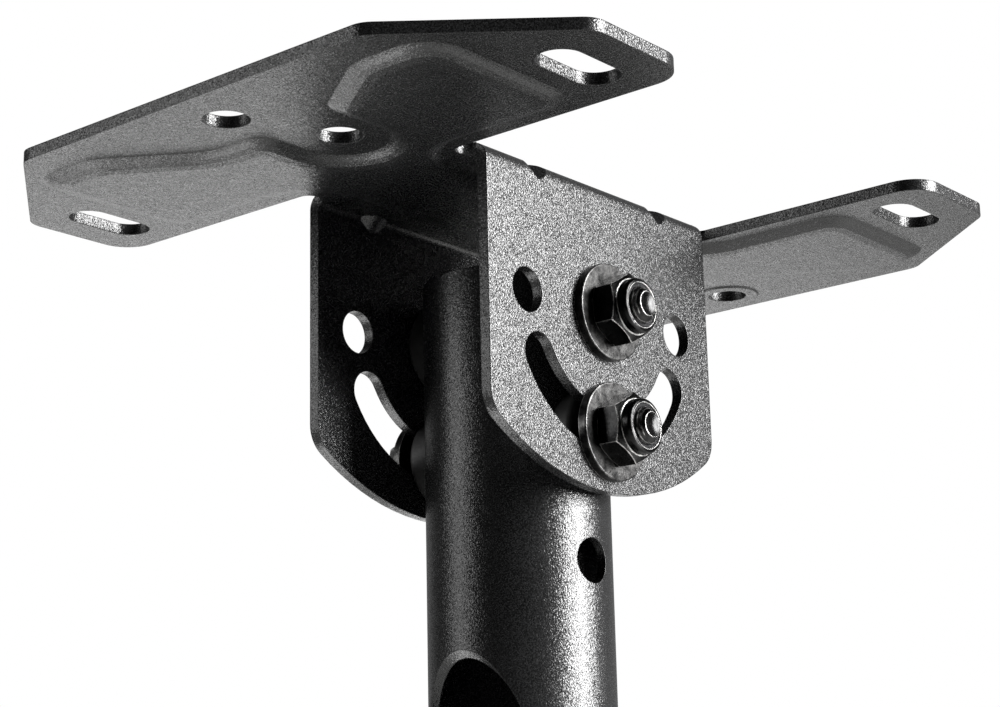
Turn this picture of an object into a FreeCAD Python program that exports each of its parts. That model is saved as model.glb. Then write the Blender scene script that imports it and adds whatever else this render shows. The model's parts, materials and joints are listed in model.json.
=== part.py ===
# Tilting ceiling mount: a pressed and folded steel ceiling plate whose two ears carry a round drop pole
# Axes: X runs along the pivot bolt, Y across the ears, Z up; the origin is the middle of the ceiling face
import FreeCAD
import Part
import math
import os

V = FreeCAD.Vector
TINY = 0.01

# Drop pole
POLE_R = 25.4
POLE_WALL = 2.5
POLE_ABOVE = 13.4
POLE_BELOW = 167.8
POLE_BORE = 5.25
CROSS_R = 6.1
CROSS_DOWN = 66.5
CABLE_DOWN = 89.8
CABLE_R = 18.5
CABLE_TILT = 39.0

# Pivot and lock
PIVOT_DROP = 37.2
LOCK_R = 33.0
ARC_HALF = 60.0
ARC_W = 12.0
BOLT_R = 5.0
BOLT_CHAMFER = 1.1
HEAD_H = 6.4
HEAD_ROUND = 1.2
WASHER_R = 13.4
WASHER_BORE = 5.3
WASHER_T = 2.5
WASHER_ROUND = 0.4
NUT_AF = 17.0
NUT_HEX = 7.2
NUT_H = 10.0
NUT_ROUND = 1.2
COLLAR_R = 7.5
COLLAR_ROUND = 1.0
NYLON_R = 6.6
NYLON_T = 2.3
NYLON_IN = 0.4
TIP_OUT = 2.0
BUSH_R = 13.0
BUSH_BORE = 5.08
BUSH_NECK = 5.9
BUSH_NECK_LEN = 3.0
BUSH_ROUND = 1.5
RUN_GAP = 0.05

# Ears
SHEET = 3.2
EAR_GAP = 3.4
SIDE_EDGE = 15.5
LOCK_EDGE = 16.3
EAR_ARC = 79.0
EAR_CORNER = 9.0
BEND_OUT = 4.8
GUSSET_Y = 27.0
GUSSET_LEG = 6.15
GUSSET_HALF = 60.0
GUSSET_R = 2.5

# Plan of the ceiling plate
PLATE_X = 201.0
BAR_W = 69.2
BAY_EDGE = 6.8
CUT_X = 40.4
CUT_Y = 33.5
R_CUT = 7.0
R_INNER = 9.0
NOTCH_IN = 6.5
R_NOTCH = 3.3

# Holes of the ceiling plate
HOLE_R = 6.0
SLOT_LEN = 25.5
SLOT_FROM_X = 16.6
SLOT_FROM_Y = 48.2
WIRE_FROM_Y = 15.3
RING_R = 10.0
RING_UP = 0.35

# Pressed H on the underside, with a flat tongue that runs in round each inner hole
PRESS = 2.0
PRESS_SLOPE = 7.0
PRESS_PROFILE = ((0.0, 0.0), (0.14, 0.18), (0.37, 0.58), (0.63, 0.88), (1.0, 1.0))
PRESS_FROM_X = 28.5
PRESS_FROM_IN = 5.1
PRESS_FROM_OUT = 10.2
WAIST_FROM_OUT = 28.1
KNEE_SHARE = 0.66
WAIST_SHARE = 0.28
CHANNEL_IN = 13.5
TONGUE_FROM_WALL = 7.25
TONGUE_R = 12.25
TONGUE_GAP = 7.7
TONGUE_HOLE_OUT = 1.1
TONGUE_HOLE_IN = 14.1
R_PRESS = 11.0
R_PRESS_IN = 10.0
R_CHANNEL = 15.5
R_KNEE = 15.0
R_WAIST = 20.0
R_MOUTH = 7.5

# Worked out from the sizes above
EAR_IN = POLE_R + EAR_GAP
EAR_OUT = EAR_IN + SHEET
EAR_HALF = LOCK_R + SIDE_EDGE
EAR_DEPTH = PIVOT_DROP + LOCK_R + LOCK_EDGE
PIVOT_Z = -PIVOT_DROP
LOCK_Z = PIVOT_Z - LOCK_R
UNDER = -SHEET
HALF_X = PLATE_X / 2
BAY_Y = EAR_HALF + BAY_EDGE
HALF_Y = BAY_Y + BAR_W
SLOT_X = HALF_X - SLOT_FROM_X
SLOT_Y = HALF_Y - SLOT_FROM_Y
WIRE_Y = HALF_Y - WIRE_FROM_Y
PRESS_IN = BAY_Y + PRESS_FROM_IN
CHANNEL_X = EAR_OUT - CHANNEL_IN
TONGUE_X = CHANNEL_X - TONGUE_FROM_WALL
TONGUE_HOLE_X = TONGUE_X + TONGUE_HOLE_OUT
TONGUE_END = PRESS_IN + TONGUE_GAP
TONGUE_HOLE_Y = TONGUE_END + TONGUE_HOLE_IN
THROUGH = POLE_R + 20


# Plan helpers
def offset_corners(corners, inset):
    pts = [c[0] for c in corners]
    n = len(pts)
    moved = []
    for i in range(n):
        a = pts[i - 1]
        b = pts[i]
        c = pts[(i + 1) % n]
        u = (b - a).normalize()
        w = (c - b).normalize()
        nu = V(-u.y, u.x, 0)
        nw = V(-w.y, w.x, 0)
        k = inset / (1 + nu.dot(nw))
        turn = u.x * w.y - u.y * w.x
        radius = corners[i][1] - inset if turn > 0 else corners[i][1] + inset
        moved.append((b + (nu + nw) * k, radius))
    return moved


def rounded_wire(corners, z):
    n = len(corners)
    starts = []
    ends = []
    mids = []
    for i in range(n):
        b = corners[i][0]
        r = corners[i][1]
        u = (b - corners[i - 1][0]).normalize()
        w = (corners[(i + 1) % n][0] - b).normalize()
        ang = math.acos(max(-1.0, min(1.0, u.dot(w))))
        t = r * math.tan(ang / 2)
        bis = (w - u).normalize()
        reach = r / math.cos(ang / 2)
        starts.append(b - u * t)
        ends.append(b + w * t)
        mids.append(b + bis * (reach - r))
    up = V(0, 0, z)
    edges = []
    for i in range(n):
        edges.append(Part.Arc(starts[i] + up, mids[i] + up, ends[i] + up).toShape())
        edges.append(Part.makeLine(ends[i] + up, starts[(i + 1) % n] + up))
    return Part.Wire(edges)


def mirrored_ring(quarter):
    # quarter runs anticlockwise through x > 0, y < 0, from the Y axis side to the X axis side
    right = quarter + [(V(c.x, -c.y, 0), r) for c, r in reversed(quarter)]
    left = [(V(-c.x, c.y, 0), r) for c, r in reversed(right)]
    return right + left


def prism(corners, z0, z1):
    face = Part.Face(rounded_wire(corners, z0))
    return face.extrude(V(0, 0, z1 - z0))


def cyl_x(r, x0, x1, y, z):
    return Part.makeCylinder(r, x1 - x0, V(x0, y, z), V(1, 0, 0))


def cyl_z(r, z0, z1, x, y):
    return Part.makeCylinder(r, z1 - z0, V(x, y, z0), V(0, 0, 1))


# Ceiling plate
def plate_corners():
    notch_x = EAR_OUT - NOTCH_IN
    sliver = 0.4
    quarter = [
        (V(HALF_X - CUT_X, -HALF_Y, 0), R_CUT),
        (V(HALF_X, -HALF_Y + CUT_Y, 0), R_CUT),
        (V(HALF_X, -BAY_Y, 0), R_INNER),
        (V(notch_x, -BAY_Y, 0), R_NOTCH),
        (V(notch_x, -EAR_HALF, 0), R_NOTCH),
        (V(EAR_OUT - BEND_OUT + sliver, -EAR_HALF, 0), sliver / 2),
    ]
    return mirrored_ring(quarter)


def press_corners():
    # The near half of the H, from left to right; the far half is the same turned by 180 degrees
    x = HALF_X - PRESS_FROM_X
    out = HALF_Y - PRESS_FROM_OUT
    waist = HALF_Y - WAIST_FROM_OUT
    knee_x = KNEE_SHARE * x
    waist_x = WAIST_SHARE * x
    left = TONGUE_X - TONGUE_R
    right = TONGUE_X + TONGUE_R
    mouth = waist + (right - waist_x) * (out - waist) / (knee_x - waist_x)
    round_end = TONGUE_R - RUN_GAP
    near = [
        (V(-CHANNEL_X, -PRESS_IN, 0), R_CHANNEL),
        (V(-x, -PRESS_IN, 0), R_PRESS_IN),
        (V(-x, -out, 0), R_PRESS),
        (V(-knee_x, -out, 0), R_KNEE),
        (V(-waist_x, -waist, 0), R_WAIST),
        (V(left, -waist, 0), R_MOUTH),
        (V(left, -TONGUE_END, 0), round_end),
        (V(right, -TONGUE_END, 0), round_end),
        (V(right, -mouth, 0), R_MOUTH),
        (V(knee_x, -out, 0), R_KNEE),
        (V(x, -out, 0), R_PRESS),
        (V(x, -PRESS_IN, 0), R_PRESS_IN),
        (V(CHANNEL_X, -PRESS_IN, 0), R_CHANNEL),
    ]
    return near + [(V(-c.x, -c.y, 0), r) for c, r in near]


def pressed_body(z):
    outline = press_corners()
    wires = []
    for inset, depth in PRESS_PROFILE:
        wires.append(rounded_wire(offset_corners(outline, inset * PRESS_SLOPE), z - depth * PRESS))
    return Part.makeLoft(wires, True, True)


def slot_z(x, y):
    half = SLOT_LEN / 2 - HOLE_R
    z0 = UNDER - PRESS
    tall = SHEET + 2 * PRESS
    box = Part.makeBox(2 * HOLE_R, 2 * half, tall, V(x - HOLE_R, y - half, z0))
    ends = [cyl_z(HOLE_R, z0, z0 + tall, x, y - half), cyl_z(HOLE_R, z0, z0 + tall, x, y + half)]
    return box.fuse(ends)


def ear_blank(side):
    arc_mid = -EAR_DEPTH + EAR_ARC
    low = arc_mid - math.sqrt(EAR_ARC ** 2 - EAR_HALF ** 2)
    top = -BEND_OUT
    edges = [
        Part.makeLine(V(0, -EAR_HALF, low), V(0, -EAR_HALF, top)),
        Part.makeLine(V(0, -EAR_HALF, top), V(0, EAR_HALF, top)),
        Part.makeLine(V(0, EAR_HALF, top), V(0, EAR_HALF, low)),
        Part.Arc(V(0, EAR_HALF, low), V(0, 0, -EAR_DEPTH), V(0, -EAR_HALF, low)).toShape(),
    ]
    face = Part.Face(Part.Wire(edges))
    x0 = EAR_IN if side > 0 else -EAR_OUT
    face.translate(V(x0, 0, 0))
    body = face.extrude(V(SHEET, 0, 0))
    corners = []
    for e in body.Edges:
        c = e.CenterOfMass
        if abs(abs(c.y) - EAR_HALF) < TINY and abs(c.z - low) < TINY and e.Length < SHEET + TINY:
            corners.append(e)
    return body.makeFillet(EAR_CORNER, corners)


def bend(side):
    start = V(EAR_OUT - BEND_OUT, -EAR_HALF, -BEND_OUT)
    outer = Part.makeCylinder(BEND_OUT, 2 * EAR_HALF, start, V(0, 1, 0))
    inner = Part.makeCylinder(BEND_OUT - SHEET, 2 * EAR_HALF, start, V(0, 1, 0))
    keep = Part.makeBox(BEND_OUT, 2 * EAR_HALF, BEND_OUT, start)
    body = outer.cut(inner).common(keep)
    if side < 0:
        body = body.mirror(V(0, 0, 0), V(1, 0, 0))
    return body


def gusset_tool(side, y, skin):
    # A wedge at 45 degrees across the bend; its blunt edge joins the two GUSSET_LEG points, less the skin
    half = math.radians(GUSSET_HALF)
    out = V(1, 0, 1).normalize()
    along = V(1, 0, -1).normalize()
    tall = 2.5 * GUSSET_LEG
    mid = V(EAR_OUT - GUSSET_LEG / 2, y, -GUSSET_LEG / 2)
    edge = mid - out * (skin / math.sin(half))
    wing = V(0, tall * math.tan(half), 0)
    corners = [edge, edge + out * tall + wing, edge + out * tall - wing, edge]
    face = Part.Face(Part.makePolygon([c - along * tall for c in corners]))
    body = face.extrude(along * 2 * tall)
    blunt = [e for e in body.Edges if e.CenterOfMass.distanceToPoint(edge) < TINY]
    body = body.makeFillet(GUSSET_R + skin, blunt)
    if side < 0:
        body = body.mirror(V(0, 0, 0), V(1, 0, 0))
    return body


def gusset_bulge(side, y):
    # The dent's skin, kept where it stands inside the ear and under the plate
    tool = gusset_tool(side, y, SHEET)
    room = 4 * GUSSET_LEG
    bite = SHEET / 10
    x0 = EAR_IN + bite - room if side > 0 else -EAR_IN - bite
    box = Part.makeBox(room, 2 * room, room, V(x0, y - room, UNDER + bite - room))
    return tool.common(box)


def arc_slot():
    # Both ears' slots in one tool: a ring between two radii, cut to a wedge, with round ends
    ring = cyl_x(LOCK_R + ARC_W / 2, -THROUGH, THROUGH, 0, PIVOT_Z)
    ring = ring.cut(cyl_x(LOCK_R - ARC_W / 2, -THROUGH, THROUGH, 0, PIVOT_Z))
    far = 2 * (LOCK_R + ARC_W)
    a = math.radians(ARC_HALF)
    tip = V(-THROUGH, 0, PIVOT_Z)
    near_side = V(-THROUGH, -far * math.sin(a), PIVOT_Z - far * math.cos(a))
    far_side = V(-THROUGH, far * math.sin(a), PIVOT_Z - far * math.cos(a))
    bottom = V(-THROUGH, 0, PIVOT_Z - 2 * far)
    wedge = Part.Face(Part.makePolygon([tip, far_side, bottom, near_side, tip])).extrude(V(2 * THROUGH, 0, 0))
    body = ring.common(wedge)
    for s in (1, -1):
        y = s * LOCK_R * math.sin(a)
        body = body.fuse(cyl_x(ARC_W / 2, -THROUGH, THROUGH, y, PIVOT_Z - LOCK_R * math.cos(a)))
    return body


def ceiling_plate():
    body = prism(plate_corners(), UNDER, 0)
    for side in (1, -1):
        body = body.fuse([bend(side), ear_blank(side)])
    body = body.fuse(pressed_body(UNDER))
    body = body.cut(pressed_body(0))
    ring = Part.makeCone(RING_R, RING_R - RING_UP, RING_UP, V(0, WIRE_Y, UNDER), V(0, 0, -1))
    body = body.fuse(ring)
    for side in (1, -1):
        for y in (-GUSSET_Y, GUSSET_Y):
            body = body.cut(gusset_tool(side, y, 0))
            body = body.fuse(gusset_bulge(side, y))
    cuts = [arc_slot()]
    for y in (-LOCK_R, 0, LOCK_R):
        cuts.append(cyl_x(HOLE_R, -THROUGH, THROUGH, y, PIVOT_Z))
    for x in (-SLOT_X, SLOT_X):
        for y in (-SLOT_Y, SLOT_Y):
            cuts.append(slot_z(x, y))
    for s in (1, -1):
        cuts.append(cyl_z(HOLE_R, UNDER - PRESS, PRESS, 0, s * WIRE_Y))
        cuts.append(cyl_z(HOLE_R, UNDER - PRESS, PRESS, s * TONGUE_HOLE_X, -s * TONGUE_HOLE_Y))
    return body.cut(cuts).removeSplitter()


# Drop pole
def cable_tool():
    # A round cutter that slants down into the pole and stops in its hollow
    a = math.radians(CABLE_TILT)
    inward = V(0, math.cos(a), -math.sin(a))
    mouth = V(0, -POLE_R, PIVOT_Z - CABLE_DOWN - CABLE_R / math.cos(a))
    start = mouth - inward * POLE_R
    return Part.makeCylinder(CABLE_R, POLE_R + 0.8 * POLE_R / math.cos(a), start, inward)


def drop_pole():
    top = PIVOT_Z + POLE_ABOVE
    end = PIVOT_Z - POLE_BELOW
    body = cyl_z(POLE_R, end, top, 0, 0)
    body = body.cut(cyl_z(POLE_R - POLE_WALL, end - 1, top + 1, 0, 0))
    body = body.cut(cable_tool())
    cuts = [cyl_x(POLE_BORE, -THROUGH, THROUGH, 0, PIVOT_Z), cyl_x(POLE_BORE, -THROUGH, THROUGH, 0, LOCK_Z)]
    cuts.append(cyl_x(CROSS_R, -THROUGH, THROUGH, 0, PIVOT_Z - CROSS_DOWN))
    return body.cut(cuts)


# Fasteners, modelled on the X axis and then moved to their height
def hexagon(af, x0, x1):
    r = af / math.sqrt(3)
    pts = []
    for i in range(7):
        a = math.radians(60 * i + 30)
        pts.append(V(x0, r * math.cos(a), r * math.sin(a)))
    return Part.Face(Part.makePolygon(pts)).extrude(V(x1 - x0, 0, 0))


def cone_x(r0, r1, x0, x1):
    return Part.makeCone(r0, r1, x1 - x0, V(x0, 0, 0), V(1, 0, 0))


def bolt():
    under = -EAR_OUT - WASHER_T
    tip = EAR_OUT + WASHER_T + NUT_H + TIP_OUT
    head = hexagon(NUT_AF, under - HEAD_H, under)
    reach = NUT_AF / math.sqrt(3) + TINY
    round_x = under - HEAD_H + HEAD_ROUND
    crown = cone_x(reach - 1.7 * HEAD_ROUND, reach, under - HEAD_H, round_x)
    head = head.common(crown.fuse(cyl_x(reach, round_x, under, 0, 0)))
    shank = cyl_x(BOLT_R, under, tip - BOLT_CHAMFER, 0, 0)
    shank = shank.fuse(cone_x(BOLT_R, BOLT_R - BOLT_CHAMFER, tip - BOLT_CHAMFER, tip))
    return head.fuse(shank).removeSplitter()


def washer(side):
    x0 = EAR_OUT if side > 0 else -EAR_OUT - WASHER_T
    body = cyl_x(WASHER_R, x0, x0 + WASHER_T, 0, 0)
    face_x = x0 + WASHER_T if side > 0 else x0
    rim = [e for e in body.Edges if abs(e.CenterOfMass.x - face_x) < TINY and e.Length > 2 * WASHER_R]
    body = body.makeFillet(WASHER_ROUND, rim)
    return body.cut(cyl_x(WASHER_BORE, x0 - 1, x0 + WASHER_T + 1, 0, 0))


def nut():
    x0 = EAR_OUT + WASHER_T
    x_hex = x0 + NUT_HEX
    x1 = x0 + NUT_H
    reach = NUT_AF / math.sqrt(3) + TINY
    body = hexagon(NUT_AF, x0, x_hex)
    crown = cone_x(reach - NUT_ROUND, reach, x0, x0 + NUT_ROUND / 2)
    crown = crown.fuse(cyl_x(reach, x0 + NUT_ROUND / 2, x_hex - NUT_ROUND, 0, 0))
    crown = crown.fuse(cone_x(reach, reach - 1.7 * NUT_ROUND, x_hex - NUT_ROUND, x_hex))
    body = body.common(crown)
    collar = cyl_x(COLLAR_R, x_hex - NYLON_IN, x1, 0, 0)
    rim = [e for e in collar.Edges if abs(e.CenterOfMass.x - x1) < TINY and e.Length > 2 * COLLAR_R]
    body = body.fuse(collar.makeFillet(COLLAR_ROUND, rim))
    body = body.cut(cyl_x(BOLT_R + RUN_GAP, x0 - 1, x1 + 1, 0, 0))
    seat = x1 - NYLON_IN
    body = body.cut(cyl_x(NYLON_R, seat - NYLON_T, seat, 0, 0))
    return body.cut(cyl_x(NYLON_R - NYLON_IN, seat - NYLON_IN, x1 + 1, 0, 0))


def nylon_ring():
    seat = EAR_OUT + WASHER_T + NUT_H - NYLON_IN
    body = cyl_x(NYLON_R, seat - NYLON_T, seat, 0, 0)
    return body.cut(cyl_x(BOLT_R, seat - NYLON_T - 1, seat + 1, 0, 0))


def bush(side):
    # A saddle on the pole's wall, with a neck that turns in the ear's hole or slides in its slot
    face = EAR_IN - RUN_GAP
    body = cyl_x(BUSH_R, POLE_R - BUSH_R, face, 0, 0)
    rim = [e for e in body.Edges if abs(e.CenterOfMass.x - face) < TINY and e.Length > 2 * BUSH_R]
    body = body.makeFillet(BUSH_ROUND, rim)
    body = body.fuse(cyl_x(BUSH_NECK, face - 1, EAR_IN + BUSH_NECK_LEN, 0, 0))
    body = body.cut(cyl_z(POLE_R + RUN_GAP, -POLE_R, POLE_R, 0, 0))
    body = body.cut(cyl_x(BUSH_BORE, 0, THROUGH, 0, 0))
    if side < 0:
        body = body.mirror(V(0, 0, 0), V(1, 0, 0))
    return body


def at_height(body, z):
    body.translate(V(0, 0, z))
    return body


def single(shape):
    if shape.ShapeType == "Compound" and len(shape.Solids) == 1:
        return shape.Solids[0]
    return shape


def main():
    os.makedirs("parts", exist_ok=True)
    nodes = {"ceiling_plate": ceiling_plate(), "drop_pole": drop_pole()}
    for name, z in (("pivot", PIVOT_Z), ("lock", LOCK_Z)):
        nodes[name + "_bolt"] = at_height(bolt(), z)
        nodes[name + "_nut"] = at_height(nut(), z)
        nodes[name + "_nut_ring"] = at_height(nylon_ring(), z)
        for side, word in ((1, "_nut_side"), (-1, "_head_side")):
            nodes[name + "_washer" + word] = at_height(washer(side), z)
            nodes[name + "_bush" + word] = at_height(bush(side), z)
    for name, shape in nodes.items():
        shape = single(shape)
        if not shape.isValid():
            print("INVALID", name)
        print(name, len(shape.Solids), round(shape.Volume / 1000, 2), "cm3")
        shape.exportStep("parts/" + name + ".step")


main()
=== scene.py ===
import json
import math

import bmesh
import bpy
from mathutils import Euler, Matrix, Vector


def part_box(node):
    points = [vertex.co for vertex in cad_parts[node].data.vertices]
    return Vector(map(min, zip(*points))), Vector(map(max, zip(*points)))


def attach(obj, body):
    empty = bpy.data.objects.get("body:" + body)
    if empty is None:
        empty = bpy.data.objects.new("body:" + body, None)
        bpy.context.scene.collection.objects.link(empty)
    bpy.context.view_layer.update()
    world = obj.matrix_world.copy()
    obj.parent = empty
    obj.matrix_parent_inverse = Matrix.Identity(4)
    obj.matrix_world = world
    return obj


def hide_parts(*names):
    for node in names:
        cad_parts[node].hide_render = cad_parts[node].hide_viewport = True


# Tilting ceiling mount: finishes, threaded bolts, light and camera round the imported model.
# Lengths are in metres, in the model's own frame: the ceiling is z = 0 and the pivot runs along x.

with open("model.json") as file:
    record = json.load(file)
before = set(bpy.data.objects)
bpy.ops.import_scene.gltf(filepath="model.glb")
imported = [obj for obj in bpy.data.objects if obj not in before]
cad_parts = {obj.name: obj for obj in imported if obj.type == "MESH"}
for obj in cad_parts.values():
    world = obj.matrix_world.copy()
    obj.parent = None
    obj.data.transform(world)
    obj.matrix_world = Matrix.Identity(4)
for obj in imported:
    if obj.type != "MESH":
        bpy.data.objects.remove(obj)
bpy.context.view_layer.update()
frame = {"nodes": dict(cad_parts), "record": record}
nodes = frame["nodes"]

MM = 0.001

# Camera, from the photograph's perspective
CAMERA_AT = (0.35801, -0.43625, -0.18723)
CAMERA_TURN_DEG = (104.39197, 1.24975, 40.10696)
LENS_MM = 75.0
SENSOR_MM = 36.0
CLIP_NEAR = 0.01
CLIP_FAR = 20.0

# Shading, for every finish
NOISE_SPAN = (0.3, 0.7)
EDGE_SAMPLES = 6

# Powder coat
GRAIN = 0.42 * MM
GRAIN_DEEP = 0.092 * MM
FACET = 0.26 * MM
FACET_TILT = 0.24
COAT_PATCH = 30 * MM
PATCH_SHARE = 0.25
COAT_EDGE = 0.45 * MM
COAT_TINT_SPAN = (0.38, 0.66)
COAT_DARK = (0.002, 0.002, 0.0021)
COAT_LIGHT = (0.015, 0.015, 0.0155)
COAT_ROUGH = 0.27
COAT_DULLER = 0.06
COAT_SHINIER = 0.04

# Black oxide steel, worn bright at its edges
MOTTLE = 2.4 * MM
SCUFF = 0.4 * MM
METAL_DEEP = 0.035 * MM
METAL_EDGE = 0.42 * MM
METAL_TINT_SPAN = (0.34, 0.66)
METAL_ROUGH_BY = 0.07
WEAR_SAMPLES = 8
WEAR_SPAN = (0.998, 0.93)
WEAR_MOTTLE_SPAN = (0.34, 0.58)
WEAR_LEAST = 0.35
WEAR_DULLER = 0.25
NUT_DARK = (0.010, 0.010, 0.010)
NUT_LIGHT = (0.026, 0.026, 0.026)
NUT_BARE = (0.62, 0.61, 0.60)
NUT_ROUGH = 0.22
WASHER_DARK = (0.012, 0.012, 0.012)
WASHER_LIGHT = (0.078, 0.077, 0.076)
WASHER_BARE = (0.55, 0.545, 0.54)
WASHER_ROUGH = 0.32

# Plastics
PLASTIC_GRAIN = 0.5 * MM
PLASTIC_CLOUD = 4 * MM
PLASTIC_DEEP = 0.02 * MM
PLASTIC_EDGE = 0.4 * MM
PLASTIC_SHINIER = 0.06
PLASTIC_DULLER = 0.08
NYLON_DARK = (0.006, 0.006, 0.0065)
NYLON_LIGHT = (0.012, 0.012, 0.013)
NYLON_ROUGH = 0.20
BUSH_DARK = (0.010, 0.010, 0.010)
BUSH_LIGHT = (0.018, 0.018, 0.018)
BUSH_ROUGH = 0.52

# M10 bolts; the root and the flank are shares of half a pitch, and the crest is what they leave
BOLT_R = 5.0 * MM
PITCH = 1.5 * MM
THREAD_DEEP = 0.81 * MM
THREAD_LONG = 22.0 * MM
THREAD_ROOT = 0.125
THREAD_FLANK = 0.625
TIP_CHAMFER = 1.6 * MM
TIP_DIMPLE_R = 3.0 * MM
TIP_DIMPLE = 0.62 * MM
HEAD_AF = 17.0 * MM
HEAD_H = 6.4 * MM
HEAD_ROUND = 1.2 * MM
CROWN_IN = 1.7 * HEAD_ROUND
HEX_STEP_DEG = 60
BOLT_SIDES = 60
THREAD_STEPS = 10
DIMPLE_STEPS = 5
SHARP_DEG = 28
WELD = 1e-7

# Floor
FLOOR_Z = -0.9
FLOOR_R = 2.5
FLOOR_SIDES = 96
FLOOR_CLOUD = 0.4
FLOOR_DARK = (0.62, 0.62, 0.61)
FLOOR_LIGHT = (0.68, 0.68, 0.67)
FLOOR_SMOOTHEST = 0.6
FLOOR_ROUGHEST = 0.8

# Softboxes, aimed at the middle of the mount
AIM = (0.0, 0.0, -0.08)
LIGHT_FAR = 2.2
LOW_FAR = 0.8
KEY_AZ, KEY_EL, KEY_W, KEY_H, KEY_RADIANCE = 116.5, 14.0, 0.84, 1.7, 47.0
FILL_AZ, FILL_EL, FILL_W, FILL_H, FILL_RADIANCE = -39.5, 9.0, 0.74, 1.5, 4.6
LOW_AZ, LOW_EL, LOW_W, LOW_H, LOW_RADIANCE = -81.0, -48.0, 0.36, 0.4, 5.5

# White wall behind the mount and the lit sweep at its foot; a span holds cosines or heights
WHITE = (1.0, 1.0, 1.0, 1.0)
WALL_AZ = 215.0
WALL_SPAN = (0.35, 0.85)
WALL_DARK = 0.015
WALL_GLOW = 0.35
SWEEP_AZ = 230.0
SWEEP_SPAN = (0.85, 0.96)
SWEEP_TOP = (-0.04, -0.20)
SWEEP_FOOT = (-0.41, -0.345)
SWEEP_GLOW = 3.4


# Node helpers
def new_material(name):
    mat = bpy.data.materials.new(name)
    mat.use_nodes = True
    tree = mat.node_tree
    tree.nodes.clear()
    out = tree.nodes.new("ShaderNodeOutputMaterial")
    shader = tree.nodes.new("ShaderNodeBsdfPrincipled")
    tree.links.new(shader.outputs["BSDF"], out.inputs["Surface"])
    return mat, tree, shader


def object_coords(tree):
    return tree.nodes.new("ShaderNodeTexCoord").outputs["Object"]


def noise(tree, coords, size, detail=2.0, rough=0.5):
    node = tree.nodes.new("ShaderNodeTexNoise")
    node.inputs["Scale"].default_value = 1.0 / size
    node.inputs["Detail"].default_value = detail
    node.inputs["Roughness"].default_value = rough
    tree.links.new(coords, node.inputs["Vector"])
    return node.outputs["Fac"]


def remap(tree, value, span, to_lo, to_hi, smooth=False):
    node = tree.nodes.new("ShaderNodeMapRange")
    if smooth:
        node.interpolation_type = "SMOOTHSTEP"
    node.inputs["From Min"].default_value = span[0]
    node.inputs["From Max"].default_value = span[1]
    node.inputs["To Min"].default_value = to_lo
    node.inputs["To Max"].default_value = to_hi
    tree.links.new(value, node.inputs["Value"])
    return node.outputs["Result"]


def maths(tree, operation, a, b):
    node = tree.nodes.new("ShaderNodeMath")
    node.operation = operation
    for socket, value in ((node.inputs[0], a), (node.inputs[1], b)):
        if isinstance(value, (int, float)):
            socket.default_value = value
        else:
            tree.links.new(value, socket)
    return node.outputs["Value"]


def vector_maths(tree, operation, *vectors):
    node = tree.nodes.new("ShaderNodeVectorMath")
    node.operation = operation
    for socket, vector in zip(node.inputs, vectors):
        if isinstance(vector, (tuple, Vector)):
            socket.default_value = vector
        else:
            tree.links.new(vector, socket)
    return node.outputs["Value" if operation == "DOT_PRODUCT" else "Vector"]


def blend_colour(tree, fac, dark, light):
    node = tree.nodes.new("ShaderNodeMix")
    node.data_type = "RGBA"
    colour_a, colour_b, result = node.inputs[6], node.inputs[7], node.outputs[2]
    tree.links.new(fac, node.inputs["Factor"])
    for socket, colour in ((colour_a, dark), (colour_b, light)):
        if isinstance(colour, tuple):
            socket.default_value = (*colour, 1.0)
        else:
            tree.links.new(colour, socket)
    return result


def soft_edges(tree, radius, samples=EDGE_SAMPLES):
    node = tree.nodes.new("ShaderNodeBevel")
    node.samples = samples
    node.inputs["Radius"].default_value = radius
    return node.outputs["Normal"]


def edge_mask(tree, radius):
    # 1 on the object's outer and inner edges, 0 on flat faces
    rounded = soft_edges(tree, radius, WEAR_SAMPLES)
    plain = tree.nodes.new("ShaderNodeNewGeometry").outputs["Normal"]
    return remap(tree, vector_maths(tree, "DOT_PRODUCT", rounded, plain), WEAR_SPAN, 0.0, 1.0)


def bump(tree, height, depth, normal):
    node = tree.nodes.new("ShaderNodeBump")
    node.inputs["Strength"].default_value = 1.0
    node.inputs["Distance"].default_value = depth
    tree.links.new(height, node.inputs["Height"])
    tree.links.new(normal, node.inputs["Normal"])
    return node.outputs["Normal"]


def facets(tree, coords, normal, size, tilt):
    # Each grain of the coat leans its own way, by chance
    grain = tree.nodes.new("ShaderNodeTexVoronoi")
    grain.inputs["Scale"].default_value = 1.0 / size
    tree.links.new(coords, grain.inputs["Vector"])
    middle = -tilt / 2
    lean = vector_maths(tree, "MULTIPLY_ADD", grain.outputs["Color"], (tilt,) * 3, (middle,) * 3)
    return vector_maths(tree, "NORMALIZE", vector_maths(tree, "ADD", normal, lean))


# Finishes
def powder_coat():
    mat, tree, shader = new_material("black_textured_coat")
    at = object_coords(tree)
    relief = noise(tree, at, GRAIN, 1.0)
    patches = noise(tree, at, COAT_PATCH, 3.0, 0.6)
    specks = noise(tree, at, GRAIN, 0.0)
    cloudy = maths(tree, "MULTIPLY", patches, PATCH_SHARE)
    tint = maths(tree, "ADD", cloudy, maths(tree, "MULTIPLY", specks, 1.0 - PATCH_SHARE))
    colour = blend_colour(tree, remap(tree, tint, COAT_TINT_SPAN, 0.0, 1.0), COAT_DARK, COAT_LIGHT)
    tree.links.new(colour, shader.inputs["Base Color"])
    rough = remap(tree, specks, NOISE_SPAN, COAT_ROUGH + COAT_DULLER, COAT_ROUGH - COAT_SHINIER)
    tree.links.new(rough, shader.inputs["Roughness"])
    skin = bump(tree, relief, GRAIN_DEEP, soft_edges(tree, COAT_EDGE))
    tree.links.new(facets(tree, at, skin, FACET, FACET_TILT), shader.inputs["Normal"])
    return mat


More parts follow.
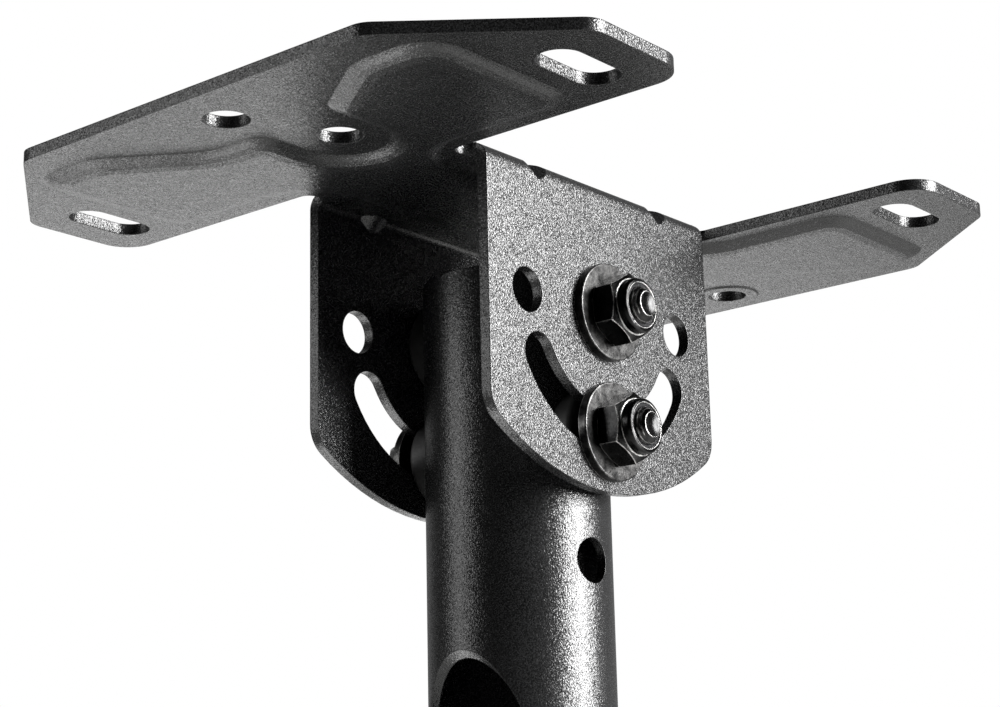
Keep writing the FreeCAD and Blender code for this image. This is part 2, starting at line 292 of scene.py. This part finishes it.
def black_oxide(name, dark, light, bare, rough):
    mat, tree, shader = new_material(name)
    at = object_coords(tree)
    shader.inputs["Metallic"].default_value = 1.0
    mottle = noise(tree, at, MOTTLE, 4.0, 0.62)
    scuff = noise(tree, at, SCUFF)
    wear = remap(tree, mottle, WEAR_MOTTLE_SPAN, WEAR_LEAST, 1.0)
    worn = maths(tree, "MULTIPLY", edge_mask(tree, METAL_EDGE), wear)
    base = blend_colour(tree, remap(tree, mottle, METAL_TINT_SPAN, 0.0, 1.0), dark, light)
    colour = blend_colour(tree, worn, base, bare)
    tree.links.new(colour, shader.inputs["Base Color"])
    sheen = remap(tree, scuff, NOISE_SPAN, rough - METAL_ROUGH_BY, rough + METAL_ROUGH_BY)
    duller = maths(tree, "MULTIPLY", worn, WEAR_DULLER)
    tree.links.new(maths(tree, "ADD", sheen, duller), shader.inputs["Roughness"])
    relief = maths(tree, "ADD", scuff, mottle)
    skin = bump(tree, relief, METAL_DEEP, soft_edges(tree, METAL_EDGE))
    tree.links.new(skin, shader.inputs["Normal"])
    return mat


def plastic(name, dark, light, rough):
    mat, tree, shader = new_material(name)
    at = object_coords(tree)
    grain = noise(tree, at, PLASTIC_GRAIN, 3.0)
    cloud = noise(tree, at, PLASTIC_CLOUD)
    colour = blend_colour(tree, remap(tree, cloud, NOISE_SPAN, 0.0, 1.0), dark, light)
    tree.links.new(colour, shader.inputs["Base Color"])
    sheen = remap(tree, grain, NOISE_SPAN, rough - PLASTIC_SHINIER, rough + PLASTIC_DULLER)
    tree.links.new(sheen, shader.inputs["Roughness"])
    skin = bump(tree, grain, PLASTIC_DEEP, soft_edges(tree, PLASTIC_EDGE))
    tree.links.new(skin, shader.inputs["Normal"])
    return mat


def floor_paint():
    mat, tree, shader = new_material("pale_floor")
    cloud = noise(tree, object_coords(tree), FLOOR_CLOUD, 3.0)
    colour = blend_colour(tree, cloud, FLOOR_DARK, FLOOR_LIGHT)
    tree.links.new(colour, shader.inputs["Base Color"])
    sheen = remap(tree, cloud, NOISE_SPAN, FLOOR_SMOOTHEST, FLOOR_ROUGHEST)
    tree.links.new(sheen, shader.inputs["Roughness"])
    return mat


def make_finishes():
    washer_tones = (WASHER_DARK, WASHER_LIGHT, WASHER_BARE)
    return {
        "black_coat": powder_coat(),
        "nut_steel": black_oxide("black_oxide_nut", NUT_DARK, NUT_LIGHT, NUT_BARE, NUT_ROUGH),
        "washer_steel": black_oxide("black_oxide_washer", *washer_tones, WASHER_ROUGH),
        "nylon_insert": plastic("nylon", NYLON_DARK, NYLON_LIGHT, NYLON_ROUGH),
        "bush_plastic": plastic("bush", BUSH_DARK, BUSH_LIGHT, BUSH_ROUGH),
    }


def dress_nodes():
    for part in frame["record"]["subparts"]:
        name = part["node"]
        slot = part["material_slot"]
        if slot == "black_oxide":
            slot = "washer_steel" if "washer" in name else "nut_steel"
        mesh = nodes[name].data
        mesh.materials.clear()
        mesh.materials.append(finishes[slot])


# Threaded bolts, which stand for the plain ones
def hex_radius(turn):
    step = math.radians(HEX_STEP_DEG)
    off = (turn + step / 2) % step - step / 2
    return HEAD_AF / 2 / math.cos(off)


def head_rings(turn, face):
    # The chamfered crown and the six sides, from the head's outer face inwards
    corner = HEAD_AF / math.sqrt(3)
    crown_r = corner - CROWN_IN
    side_r = hex_radius(turn)
    side_from = face + HEAD_ROUND * max(0.0, side_r - crown_r) / (corner - crown_r)
    seat = face + HEAD_H
    return [(face, 0.0), (face, crown_r), (side_from, side_r), (seat, side_r), (seat, BOLT_R)]


def thread_rings(turn, start, tip):
    # A 60 degree thread with flat crests and roots, cut back by the chamfer at the tip
    rings = []
    count = round((tip - start) / PITCH * THREAD_STEPS)
    for i in range(count + 1):
        x = start + (tip - start) * i / count
        phase = ((x - start) / PITCH - turn / (2 * math.pi)) % 1.0
        flank = min(1.0, max(0.0, (abs(phase - 0.5) * 2 - THREAD_ROOT) / THREAD_FLANK))
        ease = min(1.0, (x - start) / PITCH)
        cut = THREAD_DEEP * (1.0 - flank) * ease
        chamfer = BOLT_R - TIP_CHAMFER + (tip - x)
        rings.append((x, min(BOLT_R - cut, chamfer)))
    return rings


def dimple_rings(tip):
    rings = []
    for i in range(DIMPLE_STEPS + 1):
        share = 1.0 - i / DIMPLE_STEPS
        rings.append((tip - TIP_DIMPLE * (1.0 - share * share), TIP_DIMPLE_R * share))
    return rings


def bolt_mesh(name, low, high):
    face = low.x
    tip = high.x
    mid_y = (low.y + high.y) / 2
    mid_z = (low.z + high.z) / 2
    bm = bmesh.new()
    columns = []
    for i in range(BOLT_SIDES):
        turn = 2 * math.pi * i / BOLT_SIDES
        rings = head_rings(turn, face) + thread_rings(turn, tip - THREAD_LONG, tip) + dimple_rings(tip)
        column = []
        for x, r in rings:
            column.append(bm.verts.new((x, mid_y + r * math.cos(turn), mid_z + r * math.sin(turn))))
        columns.append(column)
    for i in range(BOLT_SIDES):
        a = columns[i]
        b = columns[(i + 1) % BOLT_SIDES]
        for j in range(len(a) - 1):
            bm.faces.new((a[j], a[j + 1], b[j + 1], b[j]))
    bmesh.ops.remove_doubles(bm, verts=bm.verts, dist=WELD)
    bmesh.ops.recalc_face_normals(bm, faces=bm.faces)
    for f in bm.faces:
        f.smooth = True
    mesh = bpy.data.meshes.new(name)
    bm.to_mesh(mesh)
    bm.free()
    mesh.set_sharp_from_angle(angle=math.radians(SHARP_DEG))
    return mesh


def threaded_bolt(which, body):
    node = which + "_bolt"
    low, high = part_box(node)
    mesh = bolt_mesh(which + "_threaded_bolt", low, high)
    mesh.materials.append(finishes["nut_steel"])
    obj = bpy.data.objects.new(which + "_threaded_bolt", mesh)
    bpy.context.scene.collection.objects.link(obj)
    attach(obj, body)
    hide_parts(node)


# Studio
def look_from(azimuth, elevation):
    a = math.radians(azimuth)
    e = math.radians(elevation)
    return Vector((math.sin(a) * math.cos(e), -math.cos(a) * math.cos(e), math.sin(e)))


def softbox(name, azimuth, elevation, width, height, radiance, far=LIGHT_FAR):
    data = bpy.data.lights.new(name, "AREA")
    data.shape = "RECTANGLE"
    data.size = width
    data.size_y = height
    data.energy = radiance * math.pi * width * height
    light = bpy.data.objects.new(name, data)
    back = look_from(azimuth, elevation)
    light.location = Vector(AIM) + back * far
    light.rotation_mode = "QUATERNION"
    light.rotation_quaternion = back.to_track_quat("Z", "Y")
    light.visible_camera = False
    bpy.context.scene.collection.objects.link(light)


def backdrop_world():
    # The camera sees plain white; the part is lit by the white that lies behind it, brightest near the floor
    world = bpy.data.worlds.new("white_studio")
    bpy.context.scene.world = world
    world.use_nodes = True
    tree = world.node_tree
    tree.nodes.clear()
    out = tree.nodes.new("ShaderNodeOutputWorld")
    seen = tree.nodes.new("ShaderNodeBackground")
    seen.inputs["Color"].default_value = WHITE
    cast = tree.nodes.new("ShaderNodeBackground")
    path = tree.nodes.new("ShaderNodeLightPath")
    pick = tree.nodes.new("ShaderNodeMixShader")
    tree.links.new(path.outputs["Is Camera Ray"], pick.inputs["Fac"])
    tree.links.new(cast.outputs["Background"], pick.inputs[1])
    tree.links.new(seen.outputs["Background"], pick.inputs[2])
    tree.links.new(pick.outputs["Shader"], out.inputs["Surface"])
    direction = tree.nodes.new("ShaderNodeTexCoord").outputs["Generated"]
    parts = tree.nodes.new("ShaderNodeSeparateXYZ")
    tree.links.new(direction, parts.inputs[0])
    height = parts.outputs["Z"]
    to_wall = vector_maths(tree, "DOT_PRODUCT", direction, look_from(WALL_AZ, 0.0))
    to_sweep = vector_maths(tree, "DOT_PRODUCT", direction, look_from(SWEEP_AZ, 0.0))
    wall = remap(tree, to_wall, WALL_SPAN, WALL_DARK, WALL_GLOW, True)
    sweep = remap(tree, to_sweep, SWEEP_SPAN, 0.0, SWEEP_GLOW, True)
    below = remap(tree, height, SWEEP_TOP, 0.0, 1.0, True)
    above = remap(tree, height, SWEEP_FOOT, 0.0, 1.0, True)
    band = maths(tree, "MULTIPLY", below, above)
    glow = maths(tree, "ADD", wall, maths(tree, "MULTIPLY", sweep, band))
    tree.links.new(glow, cast.inputs["Strength"])


def floor():
    bm = bmesh.new()
    bmesh.ops.create_circle(bm, cap_ends=True, radius=FLOOR_R, segments=FLOOR_SIDES)
    mesh = bpy.data.meshes.new("floor")
    bm.to_mesh(mesh)
    bm.free()
    obj = bpy.data.objects.new("floor", mesh)
    obj.location = (0.0, 0.0, FLOOR_Z)
    mesh.materials.append(floor_paint())
    bpy.context.scene.collection.objects.link(obj)


def camera():
    data = bpy.data.cameras.new("camera")
    data.lens = LENS_MM
    data.sensor_width = SENSOR_MM
    data.clip_start = CLIP_NEAR
    data.clip_end = CLIP_FAR
    cam = bpy.data.objects.new("camera", data)
    cam.location = CAMERA_AT
    cam.rotation_euler = Euler([math.radians(v) for v in CAMERA_TURN_DEG], "XYZ")
    bpy.context.scene.collection.objects.link(cam)
    bpy.context.scene.camera = cam


camera()
finishes = make_finishes()
dress_nodes()
threaded_bolt("pivot", "plate")
threaded_bolt("lock", "pole")
floor()
backdrop_world()
softbox("key_light", KEY_AZ, KEY_EL, KEY_W, KEY_H, KEY_RADIANCE)
softbox("fill_light", FILL_AZ, FILL_EL, FILL_W, FILL_H, FILL_RADIANCE)
softbox("low_light", LOW_AZ, LOW_EL, LOW_W, LOW_H, LOW_RADIANCE, LOW_FAR)
bpy.context.scene.view_settings.view_transform = "Standard"
